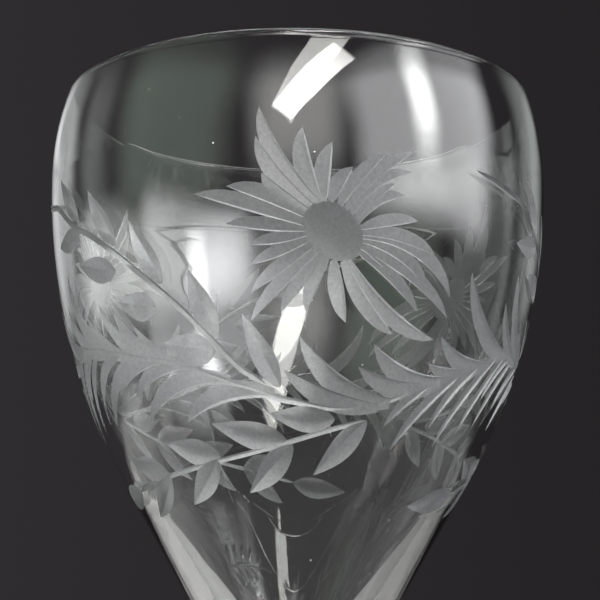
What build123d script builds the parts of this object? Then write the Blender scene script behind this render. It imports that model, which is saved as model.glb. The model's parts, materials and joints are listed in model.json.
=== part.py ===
"""Stemmed wine glass with a funnel-tulip bowl, made of three gathers of glass fused end to end.

The bowl, the stem and the foot are separate solids. The bowl sits on the stem and the stem
on the foot, each on a flat round seam of the same radius on both sides.
Millimetres, +Z up, origin at the centre of the foot's resting ring.
"""

from math import asin, cos, degrees, radians, sin, tan
import os

from build123d import *

# Overall
TOTAL_HEIGHT = 190.0

# Bowl, outside
RIM_RADIUS = 35.5
BELLY_RADIUS = 37.4
BELLY_BELOW_RIM = 12.5
LOWER_ARC_RADIUS = 90.0
FUNNEL_ANGLE = 30.4  # degrees between the funnel's side and the axis

# Bowl, wall and inside
RIM_WALL = 1.3
BELLY_WALL = 1.7
INSIDE_ARC_RADIUS = 86.0
INSIDE_FUNNEL_ANGLE = 33.5  # wider than outside, so the wall thickens towards the base
INSIDE_BASE_RADIUS = 7.0

# Stem
STEM_TOP_RADIUS = 4.3
STEM_WAIST_RADIUS = 3.8
STEM_TOP_FLARE_RADIUS = 18.0
STEM_FOOT_FLARE_RADIUS = 8.0
STEM_FOOT_FLARE_ANGLE = 45.0  # degrees between the flare's end and the axis

# Foot
FOOT_RADIUS = 36.0
FOOT_EDGE_THICKNESS = 2.2
FOOT_CENTRE_HEIGHT = 8.0  # height of the seam with the stem
FOOT_HOLLOW_DEPTH = 1.6  # how far the underside is domed off the table
FOOT_RING_WIDTH = 3.6
FOOT_EDGE_SLOPE = 3.0  # degrees that the top surface rises at the edge


def turned(edges, low, high):
    """The solid swept by an outline turned once round the Z axis.

    The edges run in the XZ plane from low on the axis to high on the axis.
    """
    outline = Wire([*edges, Line(high, low)])
    return revolve(make_face(outline), Axis.Z, 360)


def point(radius, height):
    return (radius, 0.0, height)


def arc_radius(rise, run):
    """Radius of the arc that starts square to a line and leaves it by rise over run."""
    return (rise**2 + run**2) / (2 * rise)


def tangent_arc(centre_radius, centre_height, radius, start_angle, end_angle):
    """Arc about a centre in the XZ plane. Angles are degrees above the outward horizontal."""
    middle = (start_angle + end_angle) / 2
    ends = [
        point(
            centre_radius + radius * cos(radians(angle)),
            centre_height + radius * sin(radians(angle)),
        )
        for angle in (start_angle, middle, end_angle)
    ]
    return ThreePointArc(*ends), ends[0], ends[2]


# Heights that several pieces share
RIM_HEIGHT = TOTAL_HEIGHT - RIM_WALL / 2  # centre of the rounded lip
BELLY_HEIGHT = TOTAL_HEIGHT - BELLY_BELOW_RIM
FUNNEL_TOP_HEIGHT = BELLY_HEIGHT - LOWER_ARC_RADIUS * sin(radians(FUNNEL_ANGLE))
FUNNEL_TOP_RADIUS = BELLY_RADIUS - LOWER_ARC_RADIUS * (1 - cos(radians(FUNNEL_ANGLE)))

# The seam between bowl and stem is where the straight funnel meets the stem's hollow flare
SEAM_RADIUS = STEM_TOP_RADIUS + STEM_TOP_FLARE_RADIUS * (1 - cos(radians(FUNNEL_ANGLE)))
SEAM_HEIGHT = FUNNEL_TOP_HEIGHT - (FUNNEL_TOP_RADIUS - SEAM_RADIUS) / tan(radians(FUNNEL_ANGLE))

# The seam between stem and foot
FOOT_SEAM_RADIUS = STEM_WAIST_RADIUS + STEM_FOOT_FLARE_RADIUS * (
    1 - cos(radians(STEM_FOOT_FLARE_ANGLE))
)


def upper_arc(belly_radius, rim_radius):
    """The barrel curve from the belly up to the rim's centre line, and its top end."""
    rise = RIM_HEIGHT - BELLY_HEIGHT
    radius = arc_radius(belly_radius - rim_radius, rise)
    sweep = degrees(asin(rise / radius))
    return tangent_arc(belly_radius - radius, BELLY_HEIGHT, radius, 0.0, sweep)


def make_bowl():
    outer_up, _, outer_top = upper_arc(BELLY_RADIUS, RIM_RADIUS)
    outer_low, funnel_top, belly = tangent_arc(
        BELLY_RADIUS - LOWER_ARC_RADIUS, BELLY_HEIGHT, LOWER_ARC_RADIUS, -FUNNEL_ANGLE, 0.0
    )
    inner_belly = BELLY_RADIUS - BELLY_WALL
    inner_up, _, inner_top = upper_arc(inner_belly, RIM_RADIUS - RIM_WALL)
    inner_low, inner_funnel_top, _ = tangent_arc(
        inner_belly - INSIDE_ARC_RADIUS,
        BELLY_HEIGHT,
        INSIDE_ARC_RADIUS,
        -INSIDE_FUNNEL_ANGLE,
        0.0,
    )
    # The round base touches the inside funnel and is centred on the axis
    slope = radians(INSIDE_FUNNEL_ANGLE)
    apex_height = inner_funnel_top[2] - inner_funnel_top[0] / tan(slope)
    base_centre = apex_height + INSIDE_BASE_RADIUS / sin(slope)
    base_arc, base_bottom, base_edge = tangent_arc(
        0.0, base_centre, INSIDE_BASE_RADIUS, -90.0, -INSIDE_FUNNEL_ANGLE
    )
    lip_top = point(RIM_RADIUS - RIM_WALL / 2, TOTAL_HEIGHT)
    seam_edge = point(SEAM_RADIUS, SEAM_HEIGHT)
    seam_centre = point(0.0, SEAM_HEIGHT)
    edges = [
        Line(seam_centre, seam_edge),
        Line(seam_edge, funnel_top),
        outer_low,
        outer_up,
        ThreePointArc(outer_top, lip_top, inner_top),
        inner_up,
        inner_low,
        Line(inner_funnel_top, base_edge),
        base_arc,
    ]
    return turned(edges, seam_centre, base_bottom)


def make_stem():
    top_flare, flare_end, seam_edge = tangent_arc(
        STEM_TOP_RADIUS + STEM_TOP_FLARE_RADIUS,
        SEAM_HEIGHT - STEM_TOP_FLARE_RADIUS * sin(radians(FUNNEL_ANGLE)),
        STEM_TOP_FLARE_RADIUS,
        180.0,
        180.0 - FUNNEL_ANGLE,
    )
    foot_flare, foot_edge, waist = tangent_arc(
        STEM_WAIST_RADIUS + STEM_FOOT_FLARE_RADIUS,
        FOOT_CENTRE_HEIGHT + STEM_FOOT_FLARE_RADIUS * sin(radians(STEM_FOOT_FLARE_ANGLE)),
        STEM_FOOT_FLARE_RADIUS,
        180.0 + STEM_FOOT_FLARE_ANGLE,
        180.0,
    )
    shaft = Spline([waist, flare_end], tangents=[(0, 0, 1), (0, 0, 1)])
    bottom_centre = point(0.0, FOOT_CENTRE_HEIGHT)
    top_centre = point(0.0, SEAM_HEIGHT)
    edges = [
        Line(bottom_centre, foot_edge),
        foot_flare,
        shaft,
        top_flare,
        Line(seam_edge, top_centre),
    ]
    return turned(edges, bottom_centre, top_centre)


def make_foot():
    edge_round = FOOT_EDGE_THICKNESS / 2
    ring_outside = FOOT_RADIUS - edge_round
    ring_inside = ring_outside - FOOT_RING_WIDTH
    hollow_radius = arc_radius(FOOT_HOLLOW_DEPTH, ring_inside)
    hollow_sweep = degrees(asin(ring_inside / hollow_radius))
    hollow, hollow_top, ring_edge = tangent_arc(
        0.0, FOOT_HOLLOW_DEPTH - hollow_radius, hollow_radius, 90.0, 90.0 - hollow_sweep
    )
    # The rounded edge stops where the top surface's slope begins
    edge_arc, _, edge_top = tangent_arc(
        ring_outside, edge_round, edge_round, -90.0, 90.0 - FOOT_EDGE_SLOPE
    )
    edge_slope = radians(FOOT_EDGE_SLOPE)
    seam_slope = radians(STEM_FOOT_FLARE_ANGLE)
    seam_edge = point(FOOT_SEAM_RADIUS, FOOT_CENTRE_HEIGHT)
    top = Spline(
        [edge_top, seam_edge],
        tangents=[(-cos(edge_slope), 0, sin(edge_slope)), (-sin(seam_slope), 0, cos(seam_slope))],
    )
    edges = [
        hollow,
        Line(ring_edge, point(ring_outside, 0.0)),
        edge_arc,
        top,
        Line(seam_edge, point(0.0, FOOT_CENTRE_HEIGHT)),
    ]
    return turned(edges, hollow_top, point(0.0, FOOT_CENTRE_HEIGHT))


os.makedirs("parts", exist_ok=True)
for name, make in (("bowl", make_bowl), ("stem", make_stem), ("foot", make_foot)):
    export_step(make(), f"parts/{name}.step")
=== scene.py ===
"""Stemmed wine glass with a wheel-cut flower and fern garland, on a plain round table."""

import json
from math import asin, atan2, cos, hypot, pi, radians, sin, tan

import bmesh
import bpy
from mathutils import Euler, Matrix, Vector

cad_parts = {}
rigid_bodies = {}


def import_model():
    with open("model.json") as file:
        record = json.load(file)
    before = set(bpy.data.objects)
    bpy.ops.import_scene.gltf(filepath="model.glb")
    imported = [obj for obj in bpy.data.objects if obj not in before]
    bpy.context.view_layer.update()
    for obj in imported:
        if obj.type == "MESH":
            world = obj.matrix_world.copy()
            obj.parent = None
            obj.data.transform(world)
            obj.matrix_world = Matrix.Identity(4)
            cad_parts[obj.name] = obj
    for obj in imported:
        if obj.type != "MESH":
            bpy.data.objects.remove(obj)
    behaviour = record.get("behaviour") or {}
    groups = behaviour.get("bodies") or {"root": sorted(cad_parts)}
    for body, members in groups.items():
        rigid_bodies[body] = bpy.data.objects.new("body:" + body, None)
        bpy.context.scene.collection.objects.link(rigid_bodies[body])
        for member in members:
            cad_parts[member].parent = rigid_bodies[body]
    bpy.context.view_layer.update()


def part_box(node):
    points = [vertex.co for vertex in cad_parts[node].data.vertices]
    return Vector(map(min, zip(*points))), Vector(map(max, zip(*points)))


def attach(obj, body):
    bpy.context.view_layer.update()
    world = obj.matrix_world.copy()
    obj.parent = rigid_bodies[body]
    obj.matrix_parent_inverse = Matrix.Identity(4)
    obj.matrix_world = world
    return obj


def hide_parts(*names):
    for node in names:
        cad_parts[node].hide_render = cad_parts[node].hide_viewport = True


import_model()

bl_info = {
    "name": "Engraved Wine Glass",
    "version": (1, 0, 0),
    "blender": (4, 5, 0),
    "location": "3D View > Sidebar > Glass",
    "description": "Builds a stemmed wine glass with a wheel-cut flower and fern garland",
    "category": "Add Mesh",
}

MM = 0.001
FRONT = 0.0365  # radius at which a bearing is read as a length along the cutting
CRYSTAL_IOR = 1.53
# Material slots of the bowl after 0, which is clear crystal; the last is a brighter copy of the
# wheel-cut glass, put on one side of some cuts as painted light
WHEEL_CUT, MATT_EYE, BOWL_SEAM, PAINTED_LIGHT_CUT = 1, 2, 3, 4
SEAM = 1  # material slot of the fused faces on the stem and the foot
TABLE_RADIUS = 0.42

BOWL_LOW, BOWL_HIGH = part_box("bowl")
FOOT_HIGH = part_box("foot")[1]
STEM_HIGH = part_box("stem")[1]


# ---------------------------------------------------------------- sizes


def length(name, default, description):
    """A length in metres, shown in the scene's unit."""
    return bpy.props.FloatProperty(
        name=name, description=description, default=default, min=0.0, unit="LENGTH", precision=5
    )


def turn(name, default, description):
    """An angle, given in degrees and kept in radians."""
    return bpy.props.FloatProperty(
        name=name, description=description, default=radians(default), subtype="ANGLE"
    )


def tint(name, default, description):
    """A colour without alpha."""
    return bpy.props.FloatVectorProperty(
        name=name, description=description, default=default, size=3, min=0.0, subtype="COLOR"
    )


class GlassBowlSizes(bpy.types.PropertyGroup):
    """Outline of the bowl"""

    height: length("Rim height", BOWL_HIGH[2], "Height of the lip above the table")
    belly_radius: length("Belly radius", BOWL_HIGH[0], "Widest radius of the bowl")
    rim_radius: length("Rim radius", 0.0355, "Outside radius at the lip")
    belly_drop: length("Belly below rim", 0.0125, "How far under the lip the widest point is")
    lower_arc: length("Lower arc", 0.090, "Radius of the bowl's side under the belly")
    funnel: turn("Funnel angle", 30.4, "Slope of the funnel against the axis")
    rim_wall: length("Rim wall", 0.0013, "Thickness of the glass at the lip")
    belly_wall: length("Belly wall", 0.0017, "Thickness of the glass at the belly")
    inside_arc: length("Inside arc", 0.086, "Radius of the inside under the belly")
    inside_funnel: turn("Inside funnel angle", 33.5, "Slope of the inside funnel")
    inside_base: length("Inside base radius", 0.007, "Radius of the round inside base")
    seam_height: length("Seam height", BOWL_LOW[2], "Height where the bowl meets the stem")
    seam_radius: length("Seam radius", STEM_HIGH[0], "Radius where the bowl meets the stem")


class GlassStemSizes(bpy.types.PropertyGroup):
    """Outline of the stem and foot"""

    top_radius: length("Stem top radius", 0.0043, "Radius of the stem under its flare")
    waist_radius: length("Stem waist radius", 0.0038, "Radius of the stem above the foot")
    top_flare: length("Top flare", 0.018, "Radius of the hollow flare under the bowl")
    foot_flare: length("Foot flare", 0.008, "Radius of the hollow flare above the foot")
    foot_flare_angle: turn("Foot flare angle", 45.0, "Slope where the flare meets the foot")
    foot_radius: length("Foot radius", FOOT_HIGH[0], "Radius of the foot")
    foot_height: length("Foot centre height", FOOT_HIGH[2], "Height where the stem meets the foot")
    edge: length("Foot edge", 0.0022, "Thickness of the foot at its edge")
    edge_slope: turn("Edge slope", 3.0, "Slope of the foot's top at its edge")
    hollow: length("Foot hollow", 0.0016, "How far the underside is domed")
    ring: length("Resting ring", 0.0036, "Width of the flat ring that the glass rests on")


class GlassCuttingSizes(bpy.types.PropertyGroup):
    """Wheel cutting on the outside of the bowl"""

    facet: turn("Facet slope", 12.5, "Slope of the broad side of a petal or leaflet")
    wall: turn("Wall slope", 62.0, "Slope of the steep side of a petal or leaflet")
    leaf: turn("Leaf slope", 23.0, "Slope of both sides of a leaf")
    stalk: turn("Stalk slope", 38.0, "Slope of both sides of a stalk")
    eye_width: length("Flower eye length", 0.0088, "Longer width of the matt eye of the flower")
    eye_height: length("Flower eye width", 0.0064, "Shorter width of the matt eye of the flower")
    eye_turn: turn("Flower eye turn", 38.0, "How far the eye is turned clockwise")
    eye_depth: length("Flower eye depth", 0.0004, "Depth of the matt eye of the flower")
    clearance: length("Clearance", 0.00018, "How far a cutter stands off the glass")


class GlassLooks(bpy.types.PropertyGroup):
    """Colours of the glass and the stage"""

    crystal: tint("Crystal", (0.985, 0.995, 0.99), "Tint of the clear glass")
    ground: tint("Ground glass", (0.80, 0.82, 0.84), "Colour of the wheel-cut glass")
    floor: tint("Floor", (0.23, 0.227, 0.224), "Colour of the table")
    room: tint("Room", (0.029, 0.0265, 0.0285), "Colour of the dark room behind")


# ---------------------------------------------------------------- outlines


class Arc:
    """Part of a circle in an outline, by its centre, radius and two angles over the horizontal."""

    def __init__(self, centre, radius, start, end, hollow=False):
        self.centre, self.radius = centre, radius
        self.start, self.end = start, end
        self.facing = -1.0 if hollow else 1.0

    def at(self, share):
        angle = self.start + (self.end - self.start) * share
        return (
            self.centre[0] + self.radius * cos(angle),
            self.centre[1] + self.radius * sin(angle),
        )

    def miss(self, r, z):
        """How far a point is from the arc."""
        angle = atan2(z - self.centre[1], r - self.centre[0])
        low, high = sorted((self.start, self.end))
        slack = 0.02
        if low - slack <= angle <= high + slack:
            return abs(hypot(r - self.centre[0], z - self.centre[1]) - self.radius)
        return min(hypot(r - p[0], z - p[1]) for p in (self.at(0.0), self.at(1.0)))

    def normal(self, r, z):
        away = Vector((r - self.centre[0], z - self.centre[1])).normalized()
        return away * self.facing


class Run:
    """Straight part of an outline, with the glass on the left of its way."""

    def __init__(self, start, end):
        self.start, self.end = Vector(start), Vector(end)

    def at(self, share):
        return tuple(self.start.lerp(self.end, share))

    def miss(self, r, z):
        way = self.end - self.start
        share = min(max((Vector((r, z)) - self.start).dot(way) / way.length_squared, 0.0), 1.0)
        return (self.start.lerp(self.end, share) - Vector((r, z))).length

    def normal(self, r, z):
        way = (self.end - self.start).normalized()
        return Vector((way.y, -way.x))


def chain(parts):
    """Points along (part, steps) pairs, each shared end once."""
    points = [parts[0][0].at(0.0)]
    for part, steps in parts:
        points += [part.at((i + 1) / steps) for i in range(steps)]
    return points


def arc_radius(rise, run):
    """Radius of the arc that leaves a line squarely by rise over run."""
    return (rise**2 + run**2) / (2 * rise)


def bowl_outline(size):
    """The bowl's outline as (part, steps) pairs, from the seam's middle round to the inside base."""
    belly_z = size.height - size.belly_drop
    lip_z = size.height - size.rim_wall / 2
    rise = lip_z - belly_z

    def upper(belly, rim):
        radius = arc_radius(belly - rim, rise)
        return (belly - radius, belly_z), radius, asin(rise / radius)

    out_centre, out_radius, out_sweep = upper(size.belly_radius, size.rim_radius)
    in_belly = size.belly_radius - size.belly_wall
    in_centre, in_radius, in_sweep = upper(in_belly, size.rim_radius - size.rim_wall)
    low = Arc((size.belly_radius - size.lower_arc, belly_z), size.lower_arc, -size.funnel, 0.0)
    in_low = Arc(
        (in_belly - size.inside_arc, belly_z), size.inside_arc, 0.0, -size.inside_funnel, True
    )
    funnel_top = in_low.at(1.0)
    apex = funnel_top[1] - funnel_top[0] / tan(size.inside_funnel)
    base_centre = (0.0, apex + size.inside_base / sin(size.inside_funnel))
    base = Arc(base_centre, size.inside_base, -size.inside_funnel, -pi / 2, True)
    seam_edge = (size.seam_radius, size.seam_height)
    lip = Arc((size.rim_radius - size.rim_wall / 2, lip_z), size.rim_wall / 2, 0.0, pi)
    return [
        (Run((0.0, size.seam_height), seam_edge), 1),
        (Run(seam_edge, low.at(0.0)), 22),
        (low, 34),
        (Arc(out_centre, out_radius, 0.0, out_sweep), 14),
        (lip, 14),
        (Arc(in_centre, in_radius, in_sweep, 0.0, True), 14),
        (in_low, 34),
        (Run(funnel_top, base.at(0.0)), 22),
        (base, 12),
    ]


def sweep_curve(start, end, start_way, end_way, steps, pulls=(1.0, 1.0)):
    """Points after the start of a smooth curve with a given way, and pull, at both ends."""
    start, end = Vector(start), Vector(end)
    span = (end - start).length
    start_way, end_way = Vector(start_way) * span * pulls[0], Vector(end_way) * span * pulls[1]
    points = []
    for i in range(1, steps + 1):
        t = i / steps
        points.append(
            tuple(
                start * (2 * t**3 - 3 * t**2 + 1)
                + start_way * (t**3 - 2 * t**2 + t)
                + end * (3 * t**2 - 2 * t**3)
                + end_way * (t**3 - t**2)
            )
        )
    return points


def stem_outline(stem, bowl):
    """Points of the stem's outline from its foot up."""
    waist_z = stem.foot_height + stem.foot_flare * sin(stem.foot_flare_angle)
    foot_flare = Arc(
        (stem.waist_radius + stem.foot_flare, waist_z),
        stem.foot_flare,
        pi + stem.foot_flare_angle,
        pi,
    )
    flare_z = bowl.seam_height - stem.top_flare * sin(bowl.funnel)
    top_flare = Arc(
        (stem.top_radius + stem.top_flare, flare_z), stem.top_flare, pi, pi - bowl.funnel
    )
    shaft = sweep_curve(foot_flare.at(1.0), top_flare.at(0.0), (0, 1), (0, 1), 40)
    return (
        [(0.0, stem.foot_height)]
        + chain([(foot_flare, 10)])
        + shaft
        + chain([(top_flare, 12)])[1:]
        + [(0.0, bowl.seam_height)]
    )


def foot_outline(stem):
    """Points of the foot's outline from the middle of its hollow underside up."""
    half = stem.edge / 2
    ring_out = stem.foot_radius - half
    ring_in = ring_out - stem.ring
    hollow_radius = arc_radius(stem.hollow, ring_in)
    sweep = asin(ring_in / hollow_radius)
    hollow = Arc((0.0, stem.hollow - hollow_radius), hollow_radius, pi / 2, pi / 2 - sweep)
    edge = Arc((ring_out, half), half, -pi / 2, pi / 2 - stem.edge_slope)
    seam_radius = stem.waist_radius + stem.foot_flare * (1 - cos(stem.foot_flare_angle))
    edge_pull, seam_pull = 1.12, 0.83
    top = sweep_curve(
        edge.at(1.0),
        (seam_radius, stem.foot_height),
        (-cos(stem.edge_slope), sin(stem.edge_slope)),
        (-sin(stem.foot_flare_angle), cos(stem.foot_flare_angle)),
        40,
        (edge_pull, seam_pull),
    )
    ring = [(ring_in + stem.ring * i / 3, 0.0) for i in (1, 2)]
    return chain([(hollow, 26)]) + ring + chain([(edge, 14)]) + top + [(0.0, stem.foot_height)]


# ---------------------------------------------------------------- meshes


def spun(points, steps):
    """A closed bmesh swept once round the axis by an outline that starts and ends on it."""
    bm = bmesh.new()
    verts = [bm.verts.new((r, 0.0, z)) for r, z in points]
    edges = [bm.edges.new(pair) for pair in zip(verts, verts[1:])]
    bmesh.ops.spin(
        bm,
        geom=verts + edges,
        cent=(0, 0, 0),
        axis=(0, 0, 1),
        angle=2 * pi,
        steps=steps,
        use_merge=True,
    )
    bmesh.ops.remove_doubles(bm, verts=bm.verts, dist=1e-7)
    bmesh.ops.recalc_face_normals(bm, faces=bm.faces)
    for face in bm.faces:
        face.smooth = True
    return bm


def placed(name, bm, materials):
    """A new object in the scene from a bmesh."""
    mesh = bpy.data.meshes.new(name)
    bm.to_mesh(mesh)
    bm.free()
    for material in materials:
        mesh.materials.append(material)
    piece = bpy.data.objects.new(name, mesh)
    bpy.context.scene.collection.objects.link(piece)
    return piece


def hide_seams(bm, heights, slot):
    """Give the flat faces at the fused seams their own material slot."""
    upright, near = 0.99, 1e-5
    for face in bm.faces:
        middle = face.calc_center_median()
        level = abs(face.normal.z) > upright
        if level and any(abs(middle.z - z) < near for z in heights):
            face.material_index = slot
            face.smooth = False


# ---------------------------------------------------------------- cutting

# Bearings are in degrees from the front, to the right. Drops are in mm under the rim.
# Petal: tip bearing, tip drop, root's angle on the eye, bow, width (minus: on the other side)
PETALS = (
    (-7.4, 10.9, 108, 0.83, 1.9),
    (-8.0, 14.7, 125, 0.5, 1.8),
    (-6.9, 19.3, 140, 0.1, 1.7),
    (0.9, 13.6, 103, 0.3, 2.0),
    (6.5, 15.4, 97, 0.0, 1.8),
    (10.5, 18.4, 85, -0.1, 1.6),
    (17.2, 16.4, 68, 0.1, 1.5),
    (23.3, 15.8, 54, 0.6, 1.5),
    (22.6, 18.5, 42, 1.0, 1.4),
    (19.0, 20.1, 33, 0.1, 1.1),
    (21.5, 21.6, 24, 0.8, 1.3),
    (24.4, 24.5, 13, 0.0, 1.4),
    (29.0, 28.6, 2, 0.5, 1.5),
    (34.0, 33.5, -5, 1.7, 1.7),
    (28.0, 32.9, -13, 0.9, 1.4),
    (21.0, 32.2, -25, 0.1, 1.1),
    (34.0, 36.0, -28, 0.5, 1.5),
    (26.2, 35.7, -40, 0.2, 1.4),
    (31.5, 38.8, -62, -1.4, -1.8),
    (21.0, 38.5, -73, -0.5, -1.7),
    (10.3, 37.3, -92, 0.2, -1.8),
    (1.9, 36.1, -104, 0.0, -1.5),
    (-3.3, 36.2, -114, 0.2, -1.5),
    (-9.5, 37.2, -125, 0.0, -1.5),
    (-9.3, 33.8, -137, 0.2, -1.5),
    (-9.1, 30.4, -150, 0.35, -1.4),
    (-9.4, 28.0, -160, 0.35, -1.3),
    (-14.0, 25.4, -169, 0.3, -1.5),
    (-20.3, 21.5, 180, 0.1, -1.8),
    (-13.7, 20.8, 162, -0.1, -1.8),
)
# Middle of the flower's eye: bearing, drop
EYE = (7.0, 26.3)

# Garland midrib: bearing, drop
MIDRIB = (
    (-64, 39.0), (-60, 39.3), (-50, 39.9), (-40, 41.0), (-30, 41.8), (-25, 42.6), (-20, 43.6),
    (-15, 44.6), (-10, 45.4), (-5, 46.3), (0, 46.9), (10, 47.7), (20, 47.0), (30, 45.0),
    (40, 43.0), (50, 41.0), (60, 39.3), (64, 39.0),
)  # fmt: skip
# Leaflet: tip bearing, tip drop, bearing where it leaves the midrib, bow, width
LEAFLETS = (
    (0.6, 38.9, 23, 1.6, 2.4),
    (16.8, 39.7, 39, 1.6, 2.4),
    (13.8, 42.5, 35, 1.0, 2.1),
    (-2.9, 42.9, 20, 0.8, 2.1),
    (31.2, 41.8, 49, 0.8, 1.8),
    (33.3, 38.3, 53, 1.4, 2.1),
    (39.3, 29.8, 62, 2.6, 2.2),
    (53.5, 32.8, 70, 1.6, 2.0),
    (57.6, 28.7, 74, 2.2, 2.0),
    (-59.8, 33.4, -44, 1.0, 1.6),
    (-55.4, 34.7, -39, 1.0, 1.6),
    (-49.0, 33.7, -32, 1.2, 1.7),
    (-44.4, 34.2, -28, 1.0, 1.7),
    (-38.2, 37.0, -22, 0.7, 1.5),
    (22.3, 49.8, 35, -0.3, -1.3),
    (25.5, 52.7, 44, -0.6, -1.4),
    (35.9, 50.0, 51, -0.9, -1.5),
    (39.3, 52.3, 56, -0.9, -1.2),
    (47.0, 50.6, 61, -0.8, -1.1),
    (53.7, 49.7, 67, -0.8, -1.1),
    (53.2, 46.0, 65, -0.8, -1.2),
    (-58.8, 47.0, -44, -1.0, -1.4),
    (-55.7, 49.8, -38, -1.2, -1.6),
    (-49.0, 46.0, -30, -1.0, -1.6),
    (-42.3, 46.2, -24, -1.0, -1.7),
    (-40.0, 49.3, -15, -1.6, -2.0),
    (-27.8, 49.3, -5, -1.1, -2.1),
)
# Upper spray: stalk, then leaves as tip bearing, tip drop, root bearing, root drop, half width
UPPER_STALK = (
    (-82, 16.8), (-70, 18.5), (-65, 19.2), (-60, 21.0), (-55, 23.0), (-50, 24.3), (-45, 26.0),
    (-40, 28.0), (-35, 30.3), (-30, 32.7), (-25, 35.3), (-20, 38.3), (-13, 42.5), (-6.5, 44.9),
)  # fmt: skip
UPPER_LEAVES = (
    (-62.5, 15.3, -53.0, 22.2, 1.5),
    (-48.8, 18.5, -40.2, 26.8, 1.6),
    (-36.1, 23.7, -28.7, 32.3, 1.7),
    (-22.5, 30.5, -17.0, 39.1, 1.8),
    (-11.5, 36.1, -3.5, 45.2, 1.7),
    (-65.9, 24.7, -53.0, 24.0, 1.7),
    (-55.0, 28.0, -41.0, 30.0, 1.9),
    (-41.8, 33.8, -31.0, 35.0, 2.0),
    (-31.0, 39.5, -17.6, 40.7, 2.2),
)
# Lower spray, in the same order
LOWER_STALK = (
    (17.5, 49.0), (9.6, 50.1), (-1.7, 51.8), (-10.4, 53.0), (-19.2, 54.0), (-30, 55.2),
    (-39.2, 56.2), (-46.5, 57.0), (-60, 58.5),
)  # fmt: skip
LOWER_LEAVES = (
    (-6.6, 48.3, 9.6, 49.0, 1.8),
    (-21.6, 49.5, -1.9, 51.8, 1.9),
    (-36.6, 52.0, -20.3, 53.6, 1.9),
    (-55.9, 54.2, -39.2, 56.0, 2.0),
    (4.7, 56.0, 17.7, 49.0, 1.9),
    (-13.7, 58.3, -0.6, 52.1, 2.0),
    (-34.0, 60.0, -20.9, 53.7, 2.0),
    (-54.5, 62.0, -38.9, 55.7, 2.0),
    (-82.0, 60.0, -59.0, 58.5, 1.8),
)
# Bearings, in degrees, that the flower and the rest of the cutting are repeated at
FLOWER_TURNS = (0.0, 123.0, 243.0)
THIRD = 120
THIRDS = (0.0, 120.0, 240.0)
# Share of its full depth that a petal or leaflet has at its root
PETAL_ROOT, LEAFLET_ROOT = 0.38, 0.45
# Width in mm of the midrib and of the two stalks
MIDRIB_WIDTH, UPPER_STALK_WIDTH, LOWER_STALK_WIDTH = 0.95, 0.8, 0.6


class Skin:
    """The bowl's outer face, as a place to lay the cutting out on."""

    def __init__(self, size):
        self.parts = [part for part, _ in bowl_outline(size)[1:4]]
        self.rim = size.height

    def spot(self, across, down, lift):
        """Point at a length across the front, a length down from the rim and a lift off the glass."""
        z = self.rim - down
        cone, low, high = self.parts
        if z < cone.end.y:
            share = (z - cone.start.y) / (cone.end.y - cone.start.y)
            r = cone.start.x + (cone.end.x - cone.start.x) * share
            normal = cone.normal(r, z)
        else:
            arc = low if z < low.centre[1] else high
            tilt = asin((z - arc.centre[1]) / arc.radius)
            r = arc.centre[0] + arc.radius * cos(tilt)
            normal = Vector((cos(tilt), sin(tilt)))
        angle = across / FRONT
        r, z = r + normal.x * lift, z + normal.y * lift
        return Vector((r * sin(angle), -r * cos(angle), z))


def flat(bearing, drop):
    """A place in the cutting's drawing, in metres across and down."""
    return Vector((radians(bearing) * FRONT, drop * MM))


def bowed(root, tip, bow):
    """A curve from root to tip that bows to its left, as a function of the share run."""
    way = tip - root
    left = Vector((way.y, -way.x)).normalized()  # the drawing's second axis points down
    middle = (root + tip) / 2 + left * (2 * bow)

    def line(t):
        point = root * (1 - t) ** 2 + middle * (2 * t * (1 - t)) + tip * t**2
        run = (middle - root) * (2 * (1 - t)) + (tip - middle) * (2 * t)
        return point, run.normalized()

    return line


def through(places):
    """A smooth curve through places of the drawing, as a function of the share run."""
    points = [flat(*place) for place in places]
    # One more place past each end gives the end spans their way
    points = [2 * points[0] - points[1], *points, 2 * points[-1] - points[-2]]
    count = len(places) - 1

    def line(t):
        at = min(max(t, 0.0), 1.0) * count
        i = min(int(at), count - 1)
        a, b, c, d = points[i : i + 4]
        u = at - i
        # Catmull-Rom span from b to c, and its slope
        point = 0.5 * (
            2 * b + (c - a) * u + (2 * a - 5 * b + 4 * c - d) * u**2 + (3 * (b - c) + d - a) * u**3
        )
        run = 0.5 * (
            (c - a) + 2 * (2 * a - 5 * b + 4 * c - d) * u + 3 * (3 * (b - c) + d - a) * u**2
        )
        over = (t - min(max(t, 0.0), 1.0)) * run * count
        return point + over, run.normalized()

    return line


def blade(start):
    """Depth share of a petal or leaflet, from start at its root to nothing at its tip."""
    haste = 2.1  # the wheel comes to full depth after 1 / haste of the length

    def form(t):
        swell = sin(pi / 2 * min(max(t, 0.0) * haste, 1.0))
        return (1 - abs(t) ** 5) * (start + (1 - start) * swell)

    return form


def leaf_form(t):
    """Depth share of a pointed leaf from its root to its tip, and clear of the glass past them."""
    clear, lean, thinning = -0.12, 0.8, 0.25
    if t <= 0.0 or t >= 1.0:
        return clear
    return sin(pi * t**lean) * (1.0 - thinning * t)


def stalk_form(t):
    """Depth share of a stalk that tapers at both ends, and clear of the glass past them."""
    clear, root_taper, tip_taper = -0.2, 40, 30
    return min(1.0, root_taper * t, tip_taper * (1.0 - t)) if 0.0 < t < 1.0 else clear


def midrib_form(t):
    """Depth share of the garland's midrib, which is cut more lightly in its second half."""
    fade_start, fade_length, lighter = 0.48, 0.2, 0.45
    return stalk_form(t) * (1.0 - lighter * min(max((t - fade_start) / fade_length, 0.0), 1.0))


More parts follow.
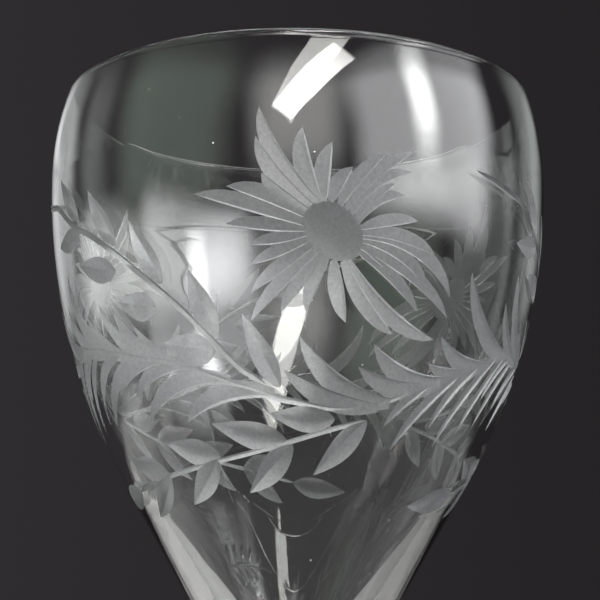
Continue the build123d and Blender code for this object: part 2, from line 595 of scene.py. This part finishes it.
def cutter(skin, line, form, depth, slopes, stations, clearance, painted_light_side=None):
    """A closed cutter: a deep line with a side facet each way, drawn out above the glass.

    slopes are the run over depth of the left and the right side. The last argument, "left" or
    "right", is the side whose faces get a brighter copy of the ground glass, as painted light;
    without it that is the steep side, if there is one.
    """
    corners = 5  # two at the top, the deep line, and one in each side that lets it bulge
    bulge = 0.12  # share of the depth
    bm = bmesh.new()
    bmesh.ops.create_cone(
        bm, cap_ends=True, segments=corners, radius1=1.0, radius2=1.0, depth=1.0
    )
    rungs = [e for e in bm.edges if abs(e.verts[0].co.z - e.verts[1].co.z) > 0.5]
    bmesh.ops.subdivide_edges(bm, edges=rungs, cuts=len(stations) - 2, use_grid_fill=False)
    left, right = slopes
    row_of = bm.verts.layers.int.new("row")
    for vert in bm.verts:
        row = round(atan2(vert.co.y, vert.co.x) / (2 * pi / corners)) % corners
        vert[row_of] = row
        t = stations[round((vert.co.z + 0.5) * (len(stations) - 1))]
        point, way = line(t)
        deep = depth * form(t)
        side = Vector((way.y, -way.x))  # left of the way, as the second axis points down
        reach = deep + clearance
        belly = bulge * max(deep, 0.0)
        across, lift = (
            (left * reach, clearance),
            (left * reach * 0.5, (clearance - deep) / 2 - belly),
            (0.0, -deep),
            (-right * reach * 0.5, (clearance - deep) / 2 - belly),
            (-right * reach, clearance),
        )[row]
        place = point + side * across
        vert.co = skin.spot(place.x, place.y, lift)
    bmesh.ops.triangulate(bm, faces=bm.faces)
    bmesh.ops.recalc_face_normals(bm, faces=bm.faces)
    # Faces on one side of the cut get the brighter copy of the ground glass: painted light on the lit
    # side
    if painted_light_side is None and left != right:
        painted_light_side = "left" if left < right else "right"
    painted_light_rows = {"left": {0, 1, 2}, "right": {2, 3, 4}}.get(painted_light_side, set())
    for face in bm.faces:
        light = {vert[row_of] for vert in face.verts} <= painted_light_rows
        face.material_index = PAINTED_LIGHT_CUT if light else WHEEL_CUT
    return bm


def turned_by(angle, x, y):
    """A way in the drawing, turned clockwise."""
    return Vector((x * cos(angle) - y * sin(angle), x * sin(angle) + y * cos(angle)))


def eye_cutter(skin, cut):
    """The shallow matt dish in the middle of the flower."""
    bm = bmesh.new()
    bmesh.ops.create_uvsphere(bm, u_segments=40, v_segments=24, radius=1.0)
    rise = 0.0012  # how far the dish's ball stands off the glass
    depth = rise + cut.eye_depth
    spread = (1 - (rise / depth) ** 2) ** 0.5
    middle = flat(*EYE)
    for vert in bm.verts:
        x, y, z = vert.co
        place = middle + turned_by(
            cut.eye_turn, x * cut.eye_width / 2 / spread, y * cut.eye_height / 2 / spread
        )
        vert.co = skin.spot(place.x, place.y, rise + z * depth)
    bmesh.ops.triangulate(bm, faces=bm.faces)
    bmesh.ops.recalc_face_normals(bm, faces=bm.faces)
    for face in bm.faces:
        face.material_index = MATT_EYE
    return bm


def steps_of(count, start, end):
    """Shares run from start to end, closer together at both ends."""
    return [start + (end - start) * (1 - cos(pi * i / count)) / 2 for i in range(count + 1)]


def on_midrib(bearing):
    """The place on the garland's midrib at a bearing, in any third of the bowl."""
    turned = (bearing + THIRD / 2) % THIRD - THIRD / 2
    midrib = sorted(MIDRIB)
    for a, b in zip(midrib, midrib[1:]):
        if a[0] <= turned <= b[0]:
            return flat(bearing, a[1] + (b[1] - a[1]) * (turned - a[0]) / (b[0] - a[0]))
    raise ValueError(f"no midrib at {bearing}")


def all_cutters(skin, cut):
    """Every cutter of the decoration, with the bearings that it is repeated at."""
    facet, wall = 1 / tan(cut.facet), 1 / tan(cut.wall)
    leaf, stalk = 1 / tan(cut.leaf), 1 / tan(cut.stalk)
    made = []

    def add(line, form, depth, slopes, stations, turns, painted_light_side=None):
        bm = cutter(skin, line, form, depth, slopes, stations, cut.clearance, painted_light_side)
        made.append((bm, turns))

    def scimitar(root, tip, bow, width, form, turns):
        slopes = (facet, wall) if width > 0 else (wall, facet)
        depth = abs(width) * MM / facet
        add(bowed(root, tip, bow * MM), form, depth, slopes, steps_of(13, 0.0, 1.02), turns)

    def vein(places, width, form):
        ends = 0.002  # how near to its ends, and how far past them, a vein has its last stations
        stations = [-ends, ends, *(i / 60 for i in range(1, 60)), 1 - ends, 1 + ends]
        add(through(places), form, width * MM / 2 / stalk, (stalk, stalk), stations, THIRDS)

    eye, inset = flat(*EYE), 0.47  # petals start just inside the edge of the eye
    for bearing, drop, angle, bow, width in PETALS:
        around = -radians(angle) - cut.eye_turn
        root = eye + turned_by(
            cut.eye_turn, inset * cut.eye_width * cos(around), inset * cut.eye_height * sin(around)
        )
        scimitar(root, flat(bearing, drop), bow, width, blade(PETAL_ROOT), FLOWER_TURNS)
    made.append((eye_cutter(skin, cut), FLOWER_TURNS))

    for bearing, drop, root, bow, width in LEAFLETS:
        scimitar(on_midrib(root), flat(bearing, drop), bow, width, blade(LEAFLET_ROOT), THIRDS)
    vein(MIDRIB, MIDRIB_WIDTH, midrib_form)
    vein(UPPER_STALK, UPPER_STALK_WIDTH, stalk_form)
    vein(LOWER_STALK, LOWER_STALK_WIDTH, stalk_form)

    leaf_bow = 0.25 * MM
    # The upper leaves get painted light, the brighter ground glass, on one half; the lower leaves are
    # alike on both halves
    for leaves, painted_light_side in ((UPPER_LEAVES, "right"), (LOWER_LEAVES, None)):
        for tip_bearing, tip_drop, root_bearing, root_drop, half_width in leaves:
            root, tip = flat(root_bearing, root_drop), flat(tip_bearing, tip_drop)
            depth = half_width * MM / leaf
            line, stations = bowed(root, tip, leaf_bow), steps_of(14, -0.02, 1.02)
            add(line, leaf_form, depth, (leaf, leaf), stations, THIRDS, painted_light_side)
    return made


def cut_away(body, cutters):
    """The body's mesh after every cutter has been taken from it."""
    rack = bpy.data.collections.new("cutters")
    bpy.context.scene.collection.children.link(rack)
    for number, (bm, turns) in enumerate(cutters):
        mesh = bpy.data.meshes.new(f"cutter_{number}")
        bm.to_mesh(mesh)
        bm.free()
        for material in body.data.materials:
            mesh.materials.append(material)
        for bearing in turns:
            tool = bpy.data.objects.new(mesh.name, mesh)
            tool.matrix_world = Matrix.Rotation(radians(bearing), 4, "Z")
            rack.objects.link(tool)
    cut = body.modifiers.new("cutting", "BOOLEAN")
    cut.operation = "DIFFERENCE"
    cut.operand_type = "COLLECTION"
    cut.collection = rack
    cut.solver = "MANIFOLD"
    bpy.context.view_layer.update()
    finished = bpy.data.meshes.new_from_object(
        body.evaluated_get(bpy.context.evaluated_depsgraph_get())
    )
    body.modifiers.clear()
    for tool in list(rack.objects):
        bpy.data.objects.remove(tool)
    bpy.data.collections.remove(rack)
    return finished


def true_normals(mesh, outline):
    """Clear faces get the outline's own normals, ground faces are smooth up to their creases."""
    parts = [part for part, _ in outline]
    crease = radians(35)
    mesh.set_sharp_from_angle(angle=crease)
    ground = [
        face.material_index in (WHEEL_CUT, MATT_EYE, PAINTED_LIGHT_CUT) for face in mesh.polygons
    ]
    owners = {}
    for face in mesh.polygons:
        for key in face.edge_keys:
            owners.setdefault(key, []).append(face.index)
    for edge in mesh.edges:
        sides = owners.get(edge.key, [])
        if len(sides) == 2 and ground[sides[0]] != ground[sides[1]]:
            edge.use_edge_sharp = True
    normals = [Vector(n.vector) for n in mesh.corner_normals]
    for face in mesh.polygons:
        if ground[face.index]:
            continue
        centre = face.center
        r, z = hypot(centre.x, centre.y), centre.z
        part = min(parts, key=lambda p: p.miss(r, z))
        for corner in face.loop_indices:
            x, y, z = mesh.vertices[mesh.loops[corner].vertex_index].co
            r = hypot(x, y)
            normal = part.normal(r, z)
            if r > 1e-6:
                normals[corner] = Vector((normal.x * x / r, normal.x * y / r, normal.y))
            else:
                normals[corner] = Vector((0.0, 0.0, 1.0 if normal.y > 0 else -1.0))
    mesh.normals_split_custom_set(normals)


# ---------------------------------------------------------------- materials


def new_material(name):
    """A node material with its tree, its Principled shader and a helper to add nodes."""
    material = bpy.data.materials.new(name)
    material.use_nodes = True
    tree = material.node_tree
    shader = tree.nodes["Principled BSDF"]

    def add(kind, **values):
        node = tree.nodes.new(kind)
        for key, value in values.items():
            if key.startswith("in_"):
                node.inputs[key[3:].replace("_", " ")].default_value = value
            else:
                setattr(node, key, value)
        return node

    return material, tree.links.new, shader, add


def between(add, link, value, low, high, start, end):
    """A socket's value carried from the range low-high to the range start-end."""
    node = add("ShaderNodeMapRange")
    for key, number in (
        ("From Min", low), ("From Max", high), ("To Min", start), ("To Max", end)
    ):
        node.inputs[key].default_value = number
    link(value, node.inputs["Value"])
    return node.outputs[0]


def crystal_material(looks):
    """Clear glass with slow waves, wipe marks, hair scratches and dust."""
    material, link, shader, add = new_material("clear_crystal")
    shader.inputs["Base Color"].default_value = (*looks.crystal, 1)
    shader.inputs["IOR"].default_value = CRYSTAL_IOR
    place = add("ShaderNodeTexCoord").outputs["Object"]
    # Rings and slow waves left by blowing and turning the bowl
    stretch = add("ShaderNodeMapping")
    stretch.inputs["Scale"].default_value = (1.0, 1.0, 2.6)
    link(place, stretch.inputs["Vector"])
    waves = add("ShaderNodeTexNoise", in_Scale=38.0, in_Detail=1.0, in_Roughness=0.4)
    link(stretch.outputs[0], waves.inputs["Vector"])
    bump = add("ShaderNodeBump", in_Strength=0.35, in_Distance=0.00022)
    link(waves.outputs["Fac"], bump.inputs["Height"])
    link(bump.outputs[0], shader.inputs["Normal"])
    # Faint wipe marks, fine scratches and dust
    wipe = add("ShaderNodeTexNoise", in_Scale=70.0, in_Detail=4.0, in_Roughness=0.65)
    link(place, wipe.inputs["Vector"])
    haze = between(add, link, wipe.outputs["Fac"], 0.5, 0.8, 0.0, 0.035)
    lean = add("ShaderNodeMapping")
    lean.inputs["Rotation"].default_value = (0.3, 0.5, 0.2)
    lean.inputs["Scale"].default_value = (1.0, 1.0, 0.04)
    link(place, lean.inputs["Vector"])
    scratch = add("ShaderNodeTexVoronoi", in_Scale=420.0, feature="DISTANCE_TO_EDGE")
    link(lean.outputs[0], scratch.inputs["Vector"])
    hair = between(add, link, scratch.outputs["Distance"], 0.0, 0.02, 1.0, 0.0)
    worn = between(add, link, wipe.outputs["Fac"], 0.56, 0.66, 0.0, 0.12)
    marks = add("ShaderNodeMath", operation="MULTIPLY_ADD")
    link(hair, marks.inputs[0])
    link(worn, marks.inputs[1])
    link(haze, marks.inputs[2])
    link(marks.outputs[0], shader.inputs["Roughness"])
    dust = add("ShaderNodeTexVoronoi", in_Scale=480.0)
    link(place, dust.inputs["Vector"])
    split = add("ShaderNodeSeparateColor")
    link(dust.outputs["Color"], split.inputs[0])
    grain = between(add, link, split.outputs[0], 0.78, 1.0, 0.0, 0.06)
    speck = add("ShaderNodeMath", operation="GREATER_THAN")
    link(dust.outputs["Distance"], speck.inputs[0])
    link(grain, speck.inputs[1])
    clear = between(add, link, speck.outputs[0], 0.0, 1.0, 0.35, 1.0)
    link(clear, shader.inputs["Transmission Weight"])
    return material


def ground_material(looks, name, shade, rough, grain, clearness):
    """Matt glass left by the cutting wheel; clearness is the share of light it lets through."""
    material, link, shader, add = new_material(name)
    shader.inputs["IOR"].default_value = CRYSTAL_IOR
    shader.inputs["Transmission Weight"].default_value = clearness
    place = add("ShaderNodeTexCoord").outputs["Object"]
    cloud = add("ShaderNodeTexNoise", in_Scale=2200.0, in_Detail=3.0, in_Roughness=0.7)
    link(place, cloud.inputs["Vector"])
    colour = add("ShaderNodeValToRGB")
    dark, light = colour.color_ramp.elements
    dark.position, light.position = 0.3, 0.72
    dark.color = (*(c * shade * 0.72 for c in looks.ground), 1)
    light.color = (*(min(c * shade * 1.12, 1.0) for c in looks.ground), 1)
    link(cloud.outputs["Fac"], colour.inputs["Fac"])
    link(colour.outputs["Color"], shader.inputs["Base Color"])
    uneven = between(add, link, cloud.outputs["Fac"], 0.0, 1.0, rough - 0.08, rough + 0.08)
    link(uneven, shader.inputs["Roughness"])
    fine = add("ShaderNodeTexNoise", in_Scale=grain, in_Detail=2.0, in_Roughness=0.7)
    link(place, fine.inputs["Vector"])
    bump = add("ShaderNodeBump", in_Strength=0.6, in_Distance=0.00003)
    link(fine.outputs["Fac"], bump.inputs["Height"])
    link(bump.outputs[0], shader.inputs["Normal"])
    return material


def seam_material():
    """Where two gathers are fused there is no face between them."""
    material, link, shader, add = new_material("fused_seam")
    clear = add("ShaderNodeBsdfTransparent")
    link(clear.outputs[0], material.node_tree.nodes["Material Output"].inputs["Surface"])
    material.node_tree.nodes.remove(shader)
    return material


def floor_material(looks):
    """Plain matt table top."""
    material, link, shader, add = new_material("table")
    place = add("ShaderNodeTexCoord").outputs["Object"]
    grain = add("ShaderNodeTexNoise", in_Scale=300.0, in_Detail=4.0)
    link(place, grain.inputs["Vector"])
    colour = add("ShaderNodeValToRGB")
    dark, light = colour.color_ramp.elements
    dark.color = (*(c * 0.96 for c in looks.floor), 1)
    light.color = (*looks.floor, 1)
    link(grain.outputs["Fac"], colour.inputs["Fac"])
    link(colour.outputs["Color"], shader.inputs["Base Color"])
    shader.inputs["Roughness"].default_value = 0.55
    return material


def soften(lamp, share):
    """Let an area light fade out towards its edges, as the cloth of a softbox does."""
    lamp.use_nodes = True
    tree = lamp.node_tree
    emission = next(node for node in tree.nodes if node.type == "EMISSION")
    place = tree.nodes.new("ShaderNodeNewGeometry")
    split = tree.nodes.new("ShaderNodeSeparateXYZ")
    tree.links.new(place.outputs["Parametric"], split.inputs[0])
    glow = None
    for axis in (0, 1):
        for low, high in ((0.0, share), (1.0, 1.0 - share)):
            fade = tree.nodes.new("ShaderNodeMapRange")
            fade.interpolation_type = "SMOOTHSTEP"
            fade.inputs["From Min"].default_value = low
            fade.inputs["From Max"].default_value = high
            tree.links.new(split.outputs[axis], fade.inputs["Value"])
            if glow is None:
                glow = fade.outputs[0]
                continue
            both = tree.nodes.new("ShaderNodeMath")
            both.operation = "MULTIPLY"
            tree.links.new(glow, both.inputs[0])
            tree.links.new(fade.outputs[0], both.inputs[1])
            glow = both.outputs[0]
    tree.links.new(glow, emission.inputs["Strength"])


# ---------------------------------------------------------------- stage

BOWL_MIDDLE = Vector((0, 0, 0.165))  # what the softboxes stand round and face

# Softboxes, with lengths in metres and angles in degrees:
# name, bearing, elevation, distance, width, height, roll, radiance, softness, grid, colour
SOFTBOXES = (
    ("strip_softbox", 6, 34, 0.38, 0.072, 0.27, -41, 30.0, 0.06, 35, (1.0, 0.985, 0.95)),
    ("right_window", 60, 20, 1.10, 1.75, 1.00, 0, 3.2, 0.2, 90, (0.98, 0.98, 1.0)),
    ("right_band", 58, 27, 1.00, 0.30, 0.75, 0, 11.0, 0.45, 90, (1.0, 1.0, 1.0)),
    ("front_fill", 0, 22, 1.70, 1.60, 1.30, 0, 2.4, 0.35, 90, (1.0, 0.99, 0.97)),
    ("left_fill", -58, 22, 1.30, 1.70, 1.30, 0, 0.78, 0.3, 90, (0.80, 1.0, 0.82)),
    ("left_front", -36, -12, 1.00, 0.95, 0.52, 0, 6.5, 0.5, 90, (0.98, 0.99, 1.0)),
    ("left_side", -72, -8, 1.00, 0.95, 0.50, 0, 3.8, 0.45, 90, (0.95, 1.0, 0.96)),
    ("left_low", -98, -2, 1.00, 0.90, 0.40, 0, 2.0, 0.35, 90, (0.97, 1.0, 0.98)),
    ("left_back", -149, 14, 1.00, 0.30, 0.80, 0, 0.6, 0.4, 90, (0.98, 0.99, 1.0)),
    ("left_wall", -104, 20, 1.00, 0.50, 0.70, 0, 0.4, 0.4, 90, (0.97, 1.0, 1.0)),
    ("left_rear", -134, 16, 1.10, 0.70, 0.90, 0, 0.35, 0.3, 90, (0.97, 1.0, 1.0)),
    ("right_rear", 134, 16, 1.10, 0.75, 0.90, 0, 0.30, 0.3, 90, (0.93, 1.0, 0.97)),
    ("top_light", 180, 80, 0.80, 0.20, 0.20, 0, 2.0, 0.2, 90, (1.0, 1.0, 1.0)),
)
# Lamps that hang over the table: name, place in metres, energy in watts
POOL_LAMPS = (
    ("table_lamp", (-0.12, 0.28, 0.62), 0.9),
    ("side_lamp", (-0.36, 0.02, 0.40), 0.7),
)


def beam_share(half):
    """Share of a plain area light's beam that a grid of a half angle lets through."""
    return sin(half) ** 2 / 2 - (half / 2 - sin(2 * half) / 4) / tan(half)


def place_light(name, lamp, matrix):
    """A new light in the scene, which the camera doesn't see."""
    light = bpy.data.objects.new(name, lamp)
    light.matrix_world = matrix
    light.visible_camera = False
    bpy.context.scene.collection.objects.link(light)


def add_softbox(name, bearing, up, far, width, height, roll, glow, soft, grid, colour):
    """A softbox that faces the bowl, with its radiance kept whatever its size."""
    lamp = bpy.data.lights.new(name, "AREA")
    lamp.shape = "RECTANGLE"
    lamp.size, lamp.size_y = width, height
    # A grid on a softbox narrows its beam, and the lamp's power is kept
    half = radians(grid)
    beam = 0.5  # a plain light, whose half angle is 90 degrees
    if grid < 90:
        lamp.spread = 2 * half
        beam = beam_share(half)
    lamp.energy, lamp.color = glow * 2 * beam * pi * width * height, colour
    soften(lamp, soft)
    b, e = radians(bearing), radians(up)
    out = Vector((sin(b) * cos(e), -cos(b) * cos(e), sin(e)))
    facing = out.to_track_quat("Z", "Y").to_matrix().to_4x4()
    rolled = Matrix.Rotation(radians(roll), 4, "Z")
    place_light(name, lamp, Matrix.Translation(BOWL_MIDDLE + out * far) @ facing @ rolled)


def add_pool_lamp(name, place, energy):
    """A lamp that hangs over the table and makes a pool of light on it."""
    diameter, spread = 0.10, radians(70)
    lamp = bpy.data.lights.new(name, "AREA")
    lamp.shape, lamp.size, lamp.energy = "DISK", diameter, energy
    lamp.spread = spread
    place_light(name, lamp, Matrix.Translation(place))


def dark_room(looks):
    """A world that is dark all round, and darker on the right."""
    world = bpy.data.worlds.new("dark_room")
    world.use_nodes = True
    backdrop = world.node_tree.nodes["Background"]
    backdrop.inputs["Strength"].default_value = 1.0
    nodes, link = world.node_tree.nodes, world.node_tree.links.new
    split = nodes.new("ShaderNodeSeparateXYZ")
    link(nodes.new("ShaderNodeTexCoord").outputs["Generated"], split.inputs[0])
    fade = nodes.new("ShaderNodeValToRGB")
    left, right = fade.color_ramp.elements
    left.position, right.position = 0.35, 0.65
    left.color = (*looks.room, 1)
    right.color = (*(0.62 * c for c in looks.room), 1)
    across = nodes.new("ShaderNodeMapRange")
    across.inputs["From Min"].default_value = -1.0
    link(split.outputs["X"], across.inputs["Value"])
    link(across.outputs[0], fade.inputs["Fac"])
    link(fade.outputs["Color"], backdrop.inputs["Color"])
    return world


def front_camera():
    """A camera close in front of the bowl, that looks slightly up at it."""
    lens = bpy.data.cameras.new("camera")
    lens.sensor_width, lens.lens = 36.0, 67.4
    lens.shift_x = 0.0075
    lens.clip_start, lens.clip_end = 0.005, 20.0
    camera = bpy.data.objects.new("camera", lens)
    camera.location = (0.0, -0.1704, 0.1355)
    camera.rotation_euler = Euler((radians(98.3), radians(-0.4), 0.0))
    return camera


# ---------------------------------------------------------------- operators


class GLASS_OT_stage(bpy.types.Operator):
    """Add the table, the lights, the dark room and the camera"""

    bl_idname = "glass.stage"
    bl_label = "Stage"

    def execute(self, context):
        scene = context.scene
        looks = scene.glass_looks
        bm = bmesh.new()
        bmesh.ops.create_circle(bm, cap_ends=True, segments=96, radius=TABLE_RADIUS)
        table = placed("table_top", bm, [floor_material(looks)])

        scene.world = dark_room(looks)
        scene.view_settings.view_transform = "Standard"
        for softbox in SOFTBOXES:
            add_softbox(*softbox)
        for lamp in POOL_LAMPS:
            add_pool_lamp(*lamp)
        scene.camera = front_camera()
        scene.collection.objects.link(scene.camera)
        return {"FINISHED"}


class GLASS_OT_bowl(bpy.types.Operator):
    """Blow the bowl and cut its flowers, garland and sprays"""

    bl_idname = "glass.bowl"
    bl_label = "Engraved bowl"

    def execute(self, context):
        scene = context.scene
        size, cut, looks = scene.glass_bowl, scene.glass_cutting, scene.glass_looks
        outline = bowl_outline(size)
        bm = spun(chain(outline), 180)
        hide_seams(bm, [size.seam_height], BOWL_SEAM)
        materials = [
            crystal_material(looks),
            ground_material(looks, "wheel_cut", shade=1.0, rough=0.42, grain=7000.0, clearness=0.89),
            ground_material(looks, "matt_eye", shade=0.8, rough=0.6, grain=5000.0, clearness=0.96),
            seam_material(),
            # A brighter copy of wheel_cut that lets less light through: painted light on the lit
            # sides of petals, leaflets and upper leaves
            ground_material(looks, "wheel_cut_painted_light", shade=1.0, rough=0.4, grain=7000.0, clearness=0.80),
        ]
        bowl = placed("engraved_bowl", bm, materials)
        mesh = cut_away(bowl, all_cutters(Skin(size), cut))
        uncut, bowl.data = bowl.data, mesh
        bpy.data.meshes.remove(uncut)
        mesh.name = "engraved_bowl"
        true_normals(mesh, outline)
        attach(bowl, "root")
        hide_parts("bowl")
        return {"FINISHED"}


class GLASS_OT_stem(bpy.types.Operator):
    """Draw the stem"""

    bl_idname = "glass.stem"
    bl_label = "Drawn stem"

    def execute(self, context):
        scene = context.scene
        points = stem_outline(scene.glass_stem, scene.glass_bowl)
        bm = spun(points, 96)
        hide_seams(bm, [scene.glass_stem.foot_height, scene.glass_bowl.seam_height], SEAM)
        stem = placed(
            "drawn_stem", bm, [bpy.data.materials["clear_crystal"], bpy.data.materials["fused_seam"]]
        )
        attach(stem, "root")
        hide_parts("stem")
        return {"FINISHED"}


class GLASS_OT_foot(bpy.types.Operator):
    """Spin the foot"""

    bl_idname = "glass.foot"
    bl_label = "Disc foot"

    def execute(self, context):
        scene = context.scene
        bm = spun(foot_outline(scene.glass_stem), 180)
        hide_seams(bm, [scene.glass_stem.foot_height], SEAM)
        foot = placed(
            "disc_foot", bm, [bpy.data.materials["clear_crystal"], bpy.data.materials["fused_seam"]]
        )
        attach(foot, "root")
        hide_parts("foot")
        return {"FINISHED"}


class GLASS_PT_panel(bpy.types.Panel):
    """Lists the steps that build the glass"""

    bl_idname = "GLASS_PT_panel"
    bl_label = "Engraved Wine Glass"
    bl_space_type = "VIEW_3D"
    bl_region_type = "UI"
    bl_category = "Glass"

    def draw(self, context):
        layout = self.layout
        for operator in STEPS:
            layout.operator(operator.bl_idname)
        for name in GROUPS:
            box = layout.box()
            group = getattr(context.scene, name)
            for key in group.bl_rna.properties.keys():
                if key not in ("rna_type", "name"):
                    box.prop(group, key)


STEPS = (GLASS_OT_stage, GLASS_OT_bowl, GLASS_OT_stem, GLASS_OT_foot)
GROUPS = {
    "glass_bowl": GlassBowlSizes,
    "glass_stem": GlassStemSizes,
    "glass_cutting": GlassCuttingSizes,
    "glass_looks": GlassLooks,
}


def register():
    for group in GROUPS.values():
        bpy.utils.register_class(group)
    for step in (*STEPS, GLASS_PT_panel):
        bpy.utils.register_class(step)
    for name, group in GROUPS.items():
        setattr(bpy.types.Scene, name, bpy.props.PointerProperty(type=group))


def unregister():
    for name in GROUPS:
        delattr(bpy.types.Scene, name)
    for step in (GLASS_PT_panel, *reversed(STEPS), *GROUPS.values()):
        bpy.utils.unregister_class(step)


def main():
    register()
    for step in STEPS:
        group, name = step.bl_idname.split(".")
        getattr(getattr(bpy.ops, group), name)()


if __name__ == "__main__":
    main()
